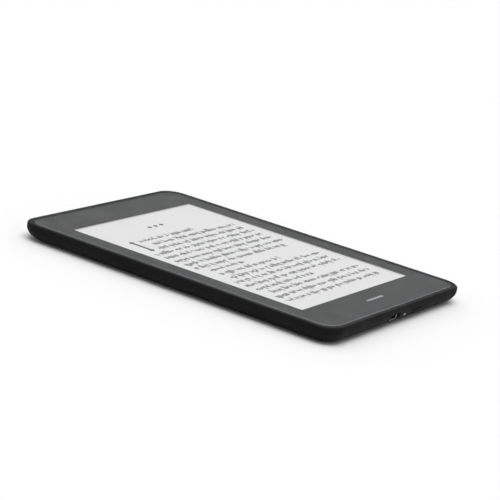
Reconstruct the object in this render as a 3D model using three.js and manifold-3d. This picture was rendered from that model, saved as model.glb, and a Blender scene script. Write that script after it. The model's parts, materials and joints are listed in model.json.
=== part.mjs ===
// A flush-front e-reader, in millimetres: X across the page, Y up the page, Z out of the screen.
// The origin is under the middle of the reader, on the surface that its back lies on.
import * as THREE from "three";
import { mergeVertices } from "three/addons/utils/BufferGeometryUtils.js";
import Module from "manifold-3d";

const wasm = await Module();
wasm.setup();

// Overall size
const WIDTH = 116;
const LENGTH = 167;
const THICKNESS = 8.2;
const CORNER_RADIUS = 9;
const CORNER_SHRINK = 0.35; // how much smaller a corner radius gets for each millimetre of inset

// Rear cover: an elliptical curve runs from the flat back up to a straight side
const BACK_INSET = 7.5;
const BACK_HEIGHT = 6;
const LIP_ROUND = 0.9;
const LIP_TOP = THICKNESS - 0.15;
const FLOOR = 1;
const WALL = 2.5;
const CURVE_STEPS = 8;

// Screen window, measured from the outline
const TOP_BORDER = 21;
const CHIN = 23.4;
const SIDE_BORDER = 12.6;
const SCREEN_WIDTH = WIDTH - 2 * SIDE_BORDER;
const SCREEN_LENGTH = LENGTH - TOP_BORDER - CHIN;
const SCREEN_Y = (CHIN - TOP_BORDER) / 2;

// Layers of the front, from the lens down: [bottom, top]
const LENS = [7.8, THICKNESS];
const BORDER = [7.7, 7.77];
const TOUCH = [7.6, 7.68];
const GUIDE = [7.32, 7.57];
const INK = [6.98, 7.28];
const BACKPLANE = [6.45, 6.95];
const DISPLAY_TAPE = [6.25, 6.4];
const CHASSIS = [5, 6.2];
const CHASSIS_RIM_TOP = 7.45;
const GASKET = [7.48, 7.67];
const LENS_INSET = WALL + 0.1;

// Inner layout
const BATTERY = { width: 80, low: -15, high: 62, bottom: 1.25, top: 4.7, corner: 3, edge: 0.7 };
const BOARD = { width: 94, low: -79, high: -24, bottom: 2.6, top: 3.4, corner: 6 };
const ON_BOARD = BOARD.top + 0.05;
const EDGE = -LENGTH / 2; // the bottom edge, which holds the port, the light and the button
const EDGE_Z = 3.9;
const POCKET_Y = EDGE + 2.6;
const POCKET_HALF_HEIGHT = 1.9;
const GAP = 0.3; // between a moving or pushed-in piece and what holds it
const REST_GAP = 0.05; // between pieces that lie on each other

// Edge controls, each with half the width of its pocket inside the edge wall
const PORT = {
  x: -5,
  width: 7.5,
  height: 2.4,
  mouth: EDGE + 1.5,
  back: EDGE + 6.7,
  wall: 0.3,
  bevel: 0.95,
  pocket: 5.2,
};
const BUTTON = { x: 14, width: 8, height: 1.8, proud: 0.15, pocket: 5.6 };
const STATUS = { x: 4, radius: 0.6 };
const SEAL_SPAN = [POCKET_Y + REST_GAP, POCKET_Y + 0.5];

// Fasteners
const BOSS_RADIUS = 2.4;
const SCREW_RADIUS = 0.55;
const SCREW_HEAD = { radius: 1.5, height: 0.45 };
const CHASSIS_SCREWS = [
  ...[-55, 0, 50].flatMap((y) => [[-50.6, y], [50.6, y]]),
  ...[-25, 25].map((x) => [x, 76]),
];
const BOARD_SCREWS = [-70, -30].flatMap((y) => [[-42, y], [42, y]]);

const FINISH = {
  shell: { color: 0x17181a, roughness: 0.62, metalness: 0 },
  border: { color: 0x2b2c2e, roughness: 0.5, metalness: 0 },
  lens: { color: 0xdfe3e6, roughness: 0.35, metalness: 0 },
  clear: { color: 0xe8eef0, roughness: 0.1, metalness: 0 },
  page: { color: 0xe2e2de, roughness: 0.8, metalness: 0 },
  rubber: { color: 0x1c1c1c, roughness: 0.9, metalness: 0 },
  chassis: { color: 0x3b3d40, roughness: 0.55, metalness: 0 },
  board: { color: 0x1c4a34, roughness: 0.45, metalness: 0 },
  chip: { color: 0x16171a, roughness: 0.4, metalness: 0 },
  steel: { color: 0xb9bcc0, roughness: 0.3, metalness: 1 },
  flex: { color: 0xa8682a, roughness: 0.4, metalness: 0 },
  pouch: { color: 0x8d9196, roughness: 0.35, metalness: 0.8 },
  tape: { color: 0x26282b, roughness: 0.85, metalness: 0 },
  white: { color: 0xe9e9e4, roughness: 0.5, metalness: 0 },
  lead: { color: 0x141414, roughness: 0.6, metalness: 0 },
};

const reader = new THREE.Group();
reader.name = "e_reader";

function add(name, geometry, finish) {
  const mesh = new THREE.Mesh(geometry, new THREE.MeshStandardMaterial(FINISH[finish]));
  mesh.name = name;
  reader.add(mesh);
}

// --- Solids -------------------------------------------------------------------------------

function toSolid(geometry) {
  const bare = geometry.index ? geometry.toNonIndexed() : geometry.clone();
  bare.deleteAttribute("normal");
  bare.deleteAttribute("uv");
  const merged = mergeVertices(bare, 1e-4);
  return new wasm.Manifold(
    new wasm.Mesh({
      numProp: 3,
      vertProperties: merged.attributes.position.array,
      triVerts: new Uint32Array(merged.index.array),
    }),
  );
}

function toGeometry(solid) {
  const mesh = solid.getMesh();
  const geometry = new THREE.BufferGeometry();
  geometry.setAttribute("position", new THREE.BufferAttribute(mesh.vertProperties, 3));
  geometry.setIndex(new THREE.BufferAttribute(mesh.triVerts, 1));
  geometry.computeVertexNormals();
  return geometry;
}

function cut(geometry, ...tools) {
  return toGeometry(tools.reduce((left, tool) => left.subtract(toSolid(tool)), toSolid(geometry)));
}

function join(geometry, ...pieces) {
  return toGeometry(pieces.reduce((whole, piece) => whole.add(toSolid(piece)), toSolid(geometry)));
}

function common(geometry, other) {
  return toGeometry(toSolid(geometry).intersect(toSolid(other)));
}

// --- Shapes -------------------------------------------------------------------------------

const cornerRadius = (inset) => CORNER_RADIUS - CORNER_SHRINK * inset;

function roundedRect(width, length, radius, x = 0, y = 0) {
  const right = width / 2 - radius;
  const high = length / 2 - radius;
  const shape = new THREE.Shape();
  shape.absarc(x + right, y - high, radius, -Math.PI / 2, 0);
  shape.absarc(x + right, y + high, radius, 0, Math.PI / 2);
  shape.absarc(x - right, y + high, radius, Math.PI / 2, Math.PI);
  shape.absarc(x - right, y - high, radius, Math.PI, Math.PI * 1.5);
  shape.closePath();
  return shape;
}

// The reader's outline, drawn in by an inset
const outline = (inset) =>
  roundedRect(WIDTH - 2 * inset, LENGTH - 2 * inset, cornerRadius(inset));

function slab(shape, [bottom, top], curveSegments = 3) {
  const settings = { depth: top - bottom, bevelEnabled: false, curveSegments };
  return new THREE.ExtrudeGeometry(shape, settings).translate(0, 0, bottom);
}

// A frame between two insets of the outline
function band(outer, inner, span) {
  const shape = outline(outer);
  shape.holes.push(outline(inner));
  return slab(shape, span);
}

// A box given by its lowest and highest corners
function block([x0, y0, z0], [x1, y1, z1]) {
  const box = new THREE.BoxGeometry(x1 - x0, y1 - y0, z1 - z0);
  return box.translate((x0 + x1) / 2, (y0 + y1) / 2, (z0 + z1) / 2);
}

// A chip-like block with rounded upright edges, by its centre, size and span in Z
const tile = (x, y, width, length, span, radius = 0.4) =>
  slab(roundedRect(width, length, radius, x, y), span, 1);

// A tile from one named group of sizes, on the middle line unless x says otherwise
const pad = ({ y, width, length, span }, corner, x = 0) => tile(x, y, width, length, span, corner);

const upright = (x, y, radius, [bottom, top], sides = 12) =>
  new THREE.CylinderGeometry(radius, radius, top - bottom, sides)
    .rotateX(Math.PI / 2)
    .translate(x, y, (bottom + top) / 2);

// A prism along Y: its section is drawn in X and Z
function alongY(shape, [near, far], curveSegments = 3) {
  const settings = { depth: far - near, bevelEnabled: false, curveSegments };
  return new THREE.ExtrudeGeometry(shape, settings).rotateX(Math.PI / 2).translate(0, far, 0);
}

const pill = (width, height, x, z) => roundedRect(width, height, height / 2 - 0.001, x, z);

// A closed surface through rounded rings, each [inset, z], from the bottom up
function loft(profile, ringAt) {
  const rings = profile.map(([inset, z]) =>
    ringAt(inset)
      .extractPoints(4)
      .shape.slice(0, -1)
      .map((point) => [point.x, point.y, z]),
  );
  const count = rings[0].length;
  const faces = [];
  for (let ring = 0; ring + 1 < rings.length; ring += 1) {
    for (let side = 0; side < count; side += 1) {
      const next = (side + 1) % count;
      const [low, high] = [ring * count, (ring + 1) * count];
      faces.push(low + side, low + next, high + next);
      faces.push(low + side, high + next, high + side);
    }
  }
  const last = (rings.length - 1) * count;
  for (let side = 1; side + 1 < count; side += 1) {
    faces.push(0, side + 1, side);
    faces.push(last, last + side, last + side + 1);
  }
  const geometry = new THREE.BufferGeometry();
  geometry.setAttribute("position", new THREE.Float32BufferAttribute(rings.flat(2), 3));
  geometry.setIndex(faces);
  return geometry;
}

// A quarter of an ellipse from the floor (inset far, z low) up to the wall (inset near, z high)
function sweepUp(near, far, low, high) {
  return Array.from({ length: CURVE_STEPS + 1 }, (_, step) => {
    const angle = (Math.PI / 2) * (step / CURVE_STEPS);
    return [far - (far - near) * Math.sin(angle), high - (high - low) * Math.cos(angle)];
  });
}

// --- Rear cover ---------------------------------------------------------------------------

function lipCurve() {
  const steps = 3;
  return Array.from({ length: steps + 1 }, (_, step) => {
    const angle = (Math.PI / 2) * (step / steps);
    return [LIP_ROUND * (1 - Math.cos(angle)), LIP_TOP - LIP_ROUND * (1 - Math.sin(angle))];
  });
}

const outerBody = loft([...sweepUp(0, BACK_INSET, 0, BACK_HEIGHT), ...lipCurve()], outline);

function portOutline(grow) {
  const half = PORT.width / 2 + grow;
  const [low, high] = [EDGE_Z - PORT.height / 2 - grow, EDGE_Z + PORT.height / 2 + grow];
  const { x, bevel } = PORT;
  return new THREE.Shape([
    new THREE.Vector2(x - half, high),
    new THREE.Vector2(x - half, low + bevel),
    new THREE.Vector2(x - half + bevel, low),
    new THREE.Vector2(x + half - bevel, low),
    new THREE.Vector2(x + half, low + bevel),
    new THREE.Vector2(x + half, high),
  ]);
}

// A flat-bottomed pocket inside the edge wall, for the seal of a port or a button
const pocket = (x, halfWidth) =>
  block(
    [x - halfWidth, POCKET_Y, EDGE_Z - POCKET_HALF_HEIGHT],
    [x + halfWidth, POCKET_Y + 3, EDGE_Z + POCKET_HALF_HEIGHT],
  );

function rearCover() {
  const cavity = loft([...sweepUp(WALL, BACK_INSET, FLOOR, BACK_HEIGHT), [WALL, 9]], outline);
  const boss = (seat) => ([x, y]) => upright(x, y, BOSS_RADIUS, [FLOOR / 2, seat - REST_GAP]);
  const bosses = [
    ...CHASSIS_SCREWS.map(boss(CHASSIS[0])),
    ...BOARD_SCREWS.map(boss(BOARD.bottom)),
  ];
  const pilots = [...CHASSIS_SCREWS, ...BOARD_SCREWS].map(([x, y]) =>
    upright(x, y, SCREW_RADIUS + GAP, [FLOOR + 0.4, CHASSIS[0]], 8),
  );
  const wallSpan = [EDGE - 1, POCKET_Y + 2];
  const button = pill(BUTTON.width + 2 * GAP, BUTTON.height + 2 * GAP, BUTTON.x, EDGE_Z);
  const light = new THREE.Shape().absarc(STATUS.x, EDGE_Z, STATUS.radius + GAP, 0, 2 * Math.PI);
  const tray = cut(outerBody, cavity);
  return cut(
    common(join(tray, ...bosses), outerBody),
    ...pilots,
    alongY(portOutline(GAP), wallSpan),
    alongY(button, wallSpan),
    alongY(light, wallSpan),
    pocket(PORT.x, PORT.pocket),
    pocket(BUTTON.x, BUTTON.pocket),
  );
}

add("rear_cover", rearCover(), "shell");

// --- Screws -------------------------------------------------------------------------------

const CHASSIS_SEAT = CHASSIS[1] - 0.5; // the chassis screws' heads are sunk in it
const CHASSIS_SCREW_TIP = 2.2;
const BOARD_SCREW_TIP = 1.7;

// A pan-head screw with a cross recess, its head sitting at z = seat
function screw(x, y, seat, tip) {
  const top = seat + SCREW_HEAD.height;
  const profile = [
    [0, tip],
    [SCREW_RADIUS, tip + 0.3],
    [SCREW_RADIUS, seat],
    [SCREW_HEAD.radius, seat],
    [SCREW_HEAD.radius, top - 0.15],
    [SCREW_HEAD.radius - 0.2, top],
    [0, top],
  ].map(([radius, z]) => new THREE.Vector2(radius, z));
  const body = new THREE.LatheGeometry(profile, 12).rotateX(Math.PI / 2);
  const [arm, half] = [0.8, 0.16];
  const floor = top - 0.3;
  const recess = [
    block([-arm, -half, floor], [arm, half, top + 1]),
    block([-half, -arm, floor], [half, arm, top + 1]),
  ];
  return cut(body, ...recess).translate(x, y, 0);
}

CHASSIS_SCREWS.forEach(([x, y], index) => {
  add(`chassis_screw_${index + 1}`, screw(x, y, CHASSIS_SEAT, CHASSIS_SCREW_TIP), "steel");
});
BOARD_SCREWS.forEach(([x, y], index) => {
  add(`board_screw_${index + 1}`, screw(x, y, ON_BOARD, BOARD_SCREW_TIP), "steel");
});

// --- Chassis ------------------------------------------------------------------------------

const RIBBONS = {
  display: { x: 0, width: 15, start: -70.4, height: 7.04 },
  touch: { x: 24, width: 8, start: -69.6, height: 7.45 },
  light: { x: -24, width: 8, start: -69.1, height: 7.3 },
};
const SLOT = [-75.4, -72.3]; // the slots that the ribbons drop through
const CHASSIS_INSET = WALL + 0.6;
const RIM = [WALL + 0.4, WALL + 1.8]; // the rim's outer and inner inset

function chassis() {
  const plate = slab(outline(CHASSIS_INSET), CHASSIS);
  const rim = band(...RIM, [CHASSIS[1] - 0.2, CHASSIS_RIM_TOP]);
  const past = [CHASSIS[0] - 1, CHASSIS[1] + 2];
  const slots = Object.values(RIBBONS).map(({ x, width }) =>
    block([x - width / 2 - 0.5, SLOT[0], past[0]], [x + width / 2 + 0.5, SLOT[1], past[1]]),
  );
  const screwHoles = CHASSIS_SCREWS.flatMap(([x, y]) => [
    upright(x, y, SCREW_RADIUS + GAP, past, 8),
    upright(x, y, SCREW_HEAD.radius + GAP, [CHASSIS_SEAT - REST_GAP, past[1]]),
  ]);
  const reach = EDGE - 1;
  const notches = [
    block([PORT.x - 4.6, reach, past[0]], [PORT.x + 4.6, PORT.back + GAP, CHASSIS[0] + 0.5]),
    block(
      [BUTTON.x - BUTTON.pocket, reach, past[0]],
      [BUTTON.x + BUTTON.pocket, EDGE + 4.6, CHASSIS[0] + 0.8],
    ),
  ];
  return cut(join(plate, rim), ...slots, ...screwHoles, ...notches);
}

add("chassis", chassis(), "chassis");

// --- Front: lens, border print, touch film, light guide and display ------------------------

function lens() {
  const edge = 0.12;
  return loft(
    [
      [LENS_INSET, LENS[0]],
      [LENS_INSET, LENS[1] - edge],
      [LENS_INSET + edge, LENS[1]],
    ],
    outline,
  );
}

function borderFilm() {
  const shape = outline(LENS_INSET + 0.2);
  shape.holes.push(roundedRect(SCREEN_WIDTH, SCREEN_LENGTH, 0.3, 0, SCREEN_Y));
  return slab(shape, BORDER);
}

const TOUCH_FILM = { half: 50, low: -68.8, high: 68 };
const LIGHT_GUIDE = { half: 49, low: -65, high: 66 };
const PAGE_SHEET = { y: SCREEN_Y, width: 96, length: 128, span: INK };
const PANEL = { y: -2.2, width: 101.8, length: 138.4, span: BACKPLANE };
const DRIVER = { y: -67.2, width: 30, length: 1.8, span: [INK[0], INK[1] - 0.05] };
const TAPE = { x: 45, y: 0, width: 6, length: 120, span: DISPLAY_TAPE };

// A rectangular sheet, even about X
const sheet = ({ half, low, high }, [bottom, top]) => block([-half, low, bottom], [half, high, top]);

add("cover_lens", lens(), "lens");
add("border_film", borderFilm(), "border");
add("lens_gasket", band(WALL + 0.5, WALL + 1.7, GASKET), "rubber");
add("touch_film", sheet(TOUCH_FILM, TOUCH), "clear");
add("light_guide", sheet(LIGHT_GUIDE, GUIDE), "clear");
add("display_ink_layer", pad(PAGE_SHEET, 0.5), "page");
add("display_backplane", pad(PANEL, 0.6), "clear");
add("display_driver", pad(DRIVER, 0.2), "chip");
for (const [side, x] of [["left", -TAPE.x], ["right", TAPE.x]]) {
  add(`display_tape_${side}`, pad(TAPE, 1, x), "tape");
}

// Front light: lamps on a strip along the guide's lower edge
const STRIP = { half: 42, low: -68.9, high: LIGHT_GUIDE.low - 0.2, span: [7.3, 7.36] };
const LAMP = { y: LIGHT_GUIDE.low - 1, width: 3, length: 1.4, span: [STRIP.span[1] + 0.02, GUIDE[1]] };
add("light_strip", sheet(STRIP, STRIP.span), "flex");
[-33, -11, 11, 33].forEach((x, index) => {
  add(`front_lamp_${index + 1}`, pad(LAMP, 0.1, x), "white");
});

// --- Ribbons from the front layers, through the chassis, to the board ----------------------

// A flat ribbon of even thickness along points in Y and Z
function ribbon(x, width, points, thickness = 0.12) {
  const curve = new THREE.CatmullRomCurve3(
    points.map(([y, z]) => new THREE.Vector3(y, z, 0)),
    false,
    "centripetal",
  );
  const middle = curve.getPoints(14).map((point) => new THREE.Vector2(point.x, point.y));
  const side = (sign) =>
    middle.map((point, index) => {
      const before = middle[Math.max(index - 1, 0)];
      const after = middle[Math.min(index + 1, middle.length - 1)];
      const along = after.clone().sub(before).normalize();
      const across = new THREE.Vector2(-along.y, along.x).multiplyScalar((sign * thickness) / 2);
      return point.clone().add(across);
    });
  const section = new THREE.Shape([...side(1), ...side(-1).reverse()]);
  const strip = new THREE.ExtrudeGeometry(section, { depth: width, bevelEnabled: false });
  // The section's X becomes Y, its Y becomes Z, and the width runs along X
  strip.applyMatrix4(new THREE.Matrix4().set(0, 0, 1, 0, 1, 0, 0, 0, 0, 1, 0, 0, 0, 0, 0, 1));
  return strip.translate(x - width / 2, 0, 0);
}

const PLUG_Z = 4.15;
const DROP_Y = -73.9;
const SOCKET = { y: -70.4, length: 2.6, span: [ON_BOARD, PLUG_Z - 0.12] };
const SOCKET_MARGIN = 1.4; // how much wider a socket is than its ribbon
for (const [name, { x, width, start, height }] of Object.entries(RIBBONS)) {
  const path = [
    [start, height],
    [SLOT[1], height],
    [DROP_Y, height - 0.9],
    [DROP_Y, CHASSIS[0] + 0.2],
    [DROP_Y + 0.7, PLUG_Z + 0.1],
    [SOCKET.y - 1, PLUG_Z],
    [SOCKET.y + 1, PLUG_Z],
  ];
  add(`${name}_ribbon`, ribbon(x, width, path), "flex");
  add(`${name}_socket`, pad({ ...SOCKET, width: width + SOCKET_MARGIN }, 0.2, x), "white");
}

// --- Main board ---------------------------------------------------------------------------

function mainBoard() {
  const [length, y] = [BOARD.high - BOARD.low, (BOARD.high + BOARD.low) / 2];
  const shape = roundedRect(BOARD.width, length, BOARD.corner, 0, y);
  const plate = slab(shape, [BOARD.bottom, BOARD.top], 4);
  const past = [BOARD.bottom - 1, BOARD.top + 1];
  const notch = block(
    [PORT.x - PORT.width / 2 - GAP, BOARD.low - 1, past[0]],
    [PORT.x + PORT.width / 2 + GAP, PORT.back + GAP, past[1]],
  );
  const holes = BOARD_SCREWS.map(([x, y]) => upright(x, y, SCREW_RADIUS + GAP, past, 8));
  return cut(plate, notch, ...holes);
}

add("main_board", mainBoard(), "board");

const SHIELD_HEIGHT = 1.2;
const SHIELDS = {
  processor_shield: { x: -20, y: -48, width: 28, length: 22 },
  radio_shield: { x: 25, y: -50, width: 20, length: 18 },
};
const CHIPS = {
  memory_chip: { x: 5.5, y: -45, width: 11, length: 10, height: 0.9, corner: 0.4 },
  power_chip: { x: 4, y: -58, width: 6, length: 6, height: 0.7, corner: 0.4 },
  power_coil: { x: -7, y: -63.5, width: 4, length: 4, height: 1.1, corner: 1.2 },
  magnet_sensor: { x: 41, y: -52, width: 2.4, length: 1.8, height: 0.8, corner: 0.2 },
};

// A pressed shield can: its roof is drawn in by a small step all round
function shieldCan({ x, y, width, length }) {
  const [skirtTop, roofTop] = [ON_BOARD + SHIELD_HEIGHT * 0.7, ON_BOARD + SHIELD_HEIGHT];
  const skirt = tile(x, y, width, length, [ON_BOARD, skirtTop], 0.6);
  const roof = tile(x, y, width - 1, length - 1, [ON_BOARD, roofTop], 0.6);
  return join(skirt, roof);
}

for (const [name, shield] of Object.entries(SHIELDS)) {
  add(name, shieldCan(shield), "steel");
}
for (const [name, { x, y, width, length, height, corner }] of Object.entries(CHIPS)) {
  add(name, tile(x, y, width, length, [ON_BOARD, ON_BOARD + height], corner), "chip");
}

// --- Battery ------------------------------------------------------------------------------

function batteryPouch() {
  const { width, low, high, bottom, top, corner, edge } = BATTERY;
  const ringAt = (inset) =>
    roundedRect(width - 2 * inset, high - low - 2 * inset, corner - inset, 0, (low + high) / 2);
  return loft(
    [
      [edge, bottom],
      [0, bottom + edge],
      [0, top - edge],
      [edge, top],
    ],
    ringAt,
  );
}

const GUARD = { y: -17.6, width: 56, length: 4, span: [2.2, 3.2] };
const BATTERY_SOCKET = { y: -29, width: 10, length: 4, span: [ON_BOARD, 4.1] };
const BATTERY_LEAD = {
  width: 7,
  thickness: 0.14,
  path: [[-16.2, 3.32], [-19, 3.32], [-22, 3.6], [-25.5, 4.2], [-30.6, 4.2]],
};
const BATTERY_TAPE = { x: 24, y: 23, width: 14, length: 60, span: [FLOOR + 0.05, FLOOR + 0.2] };

add("battery_pack", batteryPouch(), "pouch");
add("battery_guard_board", pad(GUARD, 0.4), "board");
add("battery_socket", pad(BATTERY_SOCKET, 0.4), "white");
const { width: leadWidth, thickness: leadThickness, path: leadPath } = BATTERY_LEAD;
add("battery_lead", ribbon(0, leadWidth, leadPath, leadThickness), "flex");
for (const [side, x] of [["left", -BATTERY_TAPE.x], ["right", BATTERY_TAPE.x]]) {
  add(`battery_tape_${side}`, pad(BATTERY_TAPE, 1, x), "tape");
}

// --- Antenna ------------------------------------------------------------------------------

const ANTENNA = { y: 69, width: 56, length: 7, span: [4.65, 4.95] };
const ANTENNA_LEAD_RADIUS = 0.3;

function antennaLead() {
  const route = new THREE.CatmullRomCurve3(
    [
      [35.6, -50, 4.1],
      [39, -48, 4.1],
      [44, -42, 4.1],
      [45.6, -32, 4.1],
      [45.6, 10, 4.1],
      [45.6, 52, 4.1],
      [43, 62, 4.2],
      [36, 68, 4.3],
      [29, 69, 4.3],
    ].map((point) => new THREE.Vector3(...point)),
    false,
    "centripetal",
  );
  const section = new THREE.Shape().absarc(0, 0, ANTENNA_LEAD_RADIUS, 0, 2 * Math.PI);
  const settings = { steps: 40, bevelEnabled: false, curveSegments: 4, extrudePath: route };
  return new THREE.ExtrudeGeometry(section, settings);
}

add("antenna", pad(ANTENNA, 0.4), "flex");
add("antenna_lead", antennaLead(), "lead");

// --- Charging port ------------------------------------------------------------------------

function chargePort() {
  const sleeve = alongY(portOutline(0), [PORT.mouth, PORT.back]);
  const bore = alongY(portOutline(-PORT.wall), [PORT.mouth - 1, PORT.back - 0.5]);
  return cut(sleeve, bore);
}

function portTongue() {
  const [half, low, high] = [1.85, EDGE_Z + 0.1, EDGE_Z + 0.6];
  return block([PORT.x - half, PORT.mouth + 0.7, low], [PORT.x + half, PORT.back - 0.55, high]);
}

function portSeal() {
  const ring = portOutline(GAP + 0.35);
  ring.holes.push(portOutline(GAP));
  return alongY(ring, SEAL_SPAN);
}

add("charge_port", chargePort(), "steel");
add("charge_port_tongue", portTongue(), "chip");
add("charge_port_seal", portSeal(), "rubber");

// --- Power button -------------------------------------------------------------------------

// The cap's face follows the curve of the rear cover, and a flange keeps it in
const FLANGE = [POCKET_Y + 0.6, POCKET_Y + 1.1];
const FLANGE_HEIGHT = 3.1;
const NUB_Z = EDGE_Z + 0.2;
const NUB_END = FLANGE[1] + 0.4;

function buttonCap() {
  const proudBody = outerBody.clone().translate(0, -BUTTON.proud, 0);
  const neckShape = pill(BUTTON.width, BUTTON.height, BUTTON.x, EDGE_Z);
  const neck = common(alongY(neckShape, [EDGE - 1, FLANGE[0] + 0.1]), proudBody);
  const flange = alongY(pill(BUTTON.width + 1.6, FLANGE_HEIGHT, BUTTON.x, EDGE_Z), FLANGE);
  const nub = alongY(roundedRect(2.4, 1, 0.2, BUTTON.x, NUB_Z), [FLANGE[0] + 0.1, NUB_END]);
  return join(neck, flange, nub);
}

function buttonSeal() {
  const thickness = 0.4;
  const [width, height] = [BUTTON.width + 2 * GAP, BUTTON.height + 2 * GAP];
  const ring = pill(width + 2 * thickness, height + 2 * thickness, BUTTON.x, EDGE_Z);
  ring.holes.push(pill(width, height, BUTTON.x, EDGE_Z));
  return alongY(ring, SEAL_SPAN);
}

const SWITCH = { width: 4.4, front: NUB_END + 1, back: NUB_END + 4, top: 4.8 };
const PLUNGER = { width: 1.8, height: 0.7, back: SWITCH.front + 0.5 };

function switchBody() {
  const half = SWITCH.width / 2;
  const body = block(
    [BUTTON.x - half, SWITCH.front, ON_BOARD],
    [BUTTON.x + half, SWITCH.back, SWITCH.top],
  );
  const bore = roundedRect(PLUNGER.width + 2 * GAP, PLUNGER.height + 2 * GAP, 0.1, BUTTON.x, NUB_Z);
  return cut(body, alongY(bore, [SWITCH.front - 1, PLUNGER.back + 2 * GAP]));
}

function switchPlunger() {
  const section = roundedRect(PLUNGER.width, PLUNGER.height, 0.1, BUTTON.x, NUB_Z);
  return alongY(section, [NUB_END + REST_GAP, PLUNGER.back], 2);
}

add("power_button", buttonCap(), "shell");
add("button_seal", buttonSeal(), "rubber");
add("switch_body", switchBody(), "chip");
add("switch_plunger", switchPlunger(), "white");

// --- Status light -------------------------------------------------------------------------

function statusPipe() {
  const section = new THREE.Shape().absarc(STATUS.x, EDGE_Z, STATUS.radius, 0, 2 * Math.PI);
  return common(alongY(section, [EDGE - 1, BOARD.low + 0.1], 5), outerBody);
}

add("status_light_pipe", statusPipe(), "clear");
const STATUS_LAMP = { y: BOARD.low + 1, width: 1.6, length: 1.4, span: [ON_BOARD, 4.3] };
add("status_lamp", pad(STATUS_LAMP, 0.1, STATUS.x), "white");

export default reader;
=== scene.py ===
"""A flush-front e-reader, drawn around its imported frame. Metres, X across the page, Y up it, Z out of it."""
import json
import math
import random

import bmesh
import bpy
from mathutils import Matrix, Vector

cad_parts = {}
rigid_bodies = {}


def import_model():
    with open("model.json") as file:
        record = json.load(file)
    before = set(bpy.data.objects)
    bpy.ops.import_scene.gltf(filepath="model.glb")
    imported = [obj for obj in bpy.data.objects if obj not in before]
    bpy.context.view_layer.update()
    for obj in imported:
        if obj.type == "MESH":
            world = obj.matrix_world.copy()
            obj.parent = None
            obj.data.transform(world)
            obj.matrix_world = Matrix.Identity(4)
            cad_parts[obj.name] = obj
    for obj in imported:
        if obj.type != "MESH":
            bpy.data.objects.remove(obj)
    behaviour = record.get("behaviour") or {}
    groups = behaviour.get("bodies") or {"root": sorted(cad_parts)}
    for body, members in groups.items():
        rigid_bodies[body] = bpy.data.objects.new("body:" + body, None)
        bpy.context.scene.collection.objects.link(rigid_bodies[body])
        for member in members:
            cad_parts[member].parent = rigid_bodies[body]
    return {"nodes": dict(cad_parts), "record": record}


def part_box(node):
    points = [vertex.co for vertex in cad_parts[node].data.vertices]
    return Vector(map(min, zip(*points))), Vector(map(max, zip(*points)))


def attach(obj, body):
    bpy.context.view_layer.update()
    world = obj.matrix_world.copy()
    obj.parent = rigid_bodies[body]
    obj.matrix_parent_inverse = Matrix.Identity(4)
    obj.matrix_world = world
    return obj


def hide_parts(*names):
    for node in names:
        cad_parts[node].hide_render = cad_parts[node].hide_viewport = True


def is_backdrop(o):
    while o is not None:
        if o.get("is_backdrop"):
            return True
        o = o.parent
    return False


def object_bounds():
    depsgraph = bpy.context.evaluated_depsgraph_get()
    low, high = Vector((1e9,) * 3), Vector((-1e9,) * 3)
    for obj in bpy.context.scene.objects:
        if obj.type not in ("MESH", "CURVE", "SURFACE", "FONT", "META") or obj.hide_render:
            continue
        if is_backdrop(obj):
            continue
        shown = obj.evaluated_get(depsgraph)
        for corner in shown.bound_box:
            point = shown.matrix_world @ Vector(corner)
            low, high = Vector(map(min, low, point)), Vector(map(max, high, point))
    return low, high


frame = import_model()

CAD_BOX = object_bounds()
MM = 0.001

# --- Sizes, from the frame -------------------------------------------------------------------

SHELL_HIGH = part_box("rear_cover")[1]
LENS_LOW, LENS_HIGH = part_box("cover_lens")
FILM_LOW, FILM_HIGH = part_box("border_film")
PAGE_LOW, PAGE_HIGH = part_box("display_ink_layer")
PORT_LOW, PORT_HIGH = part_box("charge_port")
BUTTON_LOW, BUTTON_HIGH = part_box("power_button")
PIPE_LOW, PIPE_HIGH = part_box("status_light_pipe")
HALF_WIDTH = SHELL_HIGH.x
HALF_LENGTH = SHELL_HIGH.y
LIP_TOP = SHELL_HIGH.z

# Shape of the rear cover
CORNER = 9 * MM
CORNER_SHRINK = 0.35
BACK_INSET = 7.5 * MM
BACK_HEIGHT = 6 * MM
LIP_ROUND = 0.9 * MM
FLOOR = 1 * MM
WALL = 2.5 * MM
CORNER_STEPS = 24

# Page window in the border print
SCREEN_WIDTH = 90.8 * MM
SCREEN_LENGTH = 122.6 * MM
SCREEN_Y = 1.2 * MM
SCREEN_LEFT = -SCREEN_WIDTH / 2
SCREEN_TOP = SCREEN_Y + SCREEN_LENGTH / 2

# --- Camera ----------------------------------------------------------------------------------

AZIMUTH, ELEVATION, ROLL = (math.radians(angle) for angle in (-59.03, 15.89, 9.37))
DISTANCE = 0.9004
AIM = (4.14 * MM, 8.95 * MM)
LENS = 143.36


def add_camera():
    back = Vector((
        math.sin(AZIMUTH) * math.cos(ELEVATION),
        -math.cos(AZIMUTH) * math.cos(ELEVATION),
        math.sin(ELEVATION),
    ))
    level = Vector((math.cos(AZIMUTH), math.sin(AZIMUTH), 0))
    upright = back.cross(level)
    right = math.cos(ROLL) * level + math.sin(ROLL) * upright
    up = -math.sin(ROLL) * level + math.cos(ROLL) * upright
    data = bpy.data.cameras.new("camera")
    data.lens = LENS
    data.clip_start = 0.01
    camera = bpy.data.objects.new("camera", data)
    bpy.context.scene.collection.objects.link(camera)
    turn = Matrix((right, up, back)).transposed().to_4x4()
    place = AIM[0] * right + AIM[1] * up + DISTANCE * back
    camera.matrix_world = Matrix.Translation(place) @ turn
    bpy.context.scene.camera = camera


# --- Shader node groups ----------------------------------------------------------------------


def node(tree, kind, inputs=None, **settings):
    """A node with its settings and its inputs, each a value or another node's output."""
    made = tree.nodes.new(kind)
    for name, value in settings.items():
        setattr(made, name, value)
    for name, value in (inputs or {}).items():
        if isinstance(value, bpy.types.NodeSocket):
            tree.links.new(value, made.inputs[name])
        else:
            made.inputs[name].default_value = value
    return made


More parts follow.
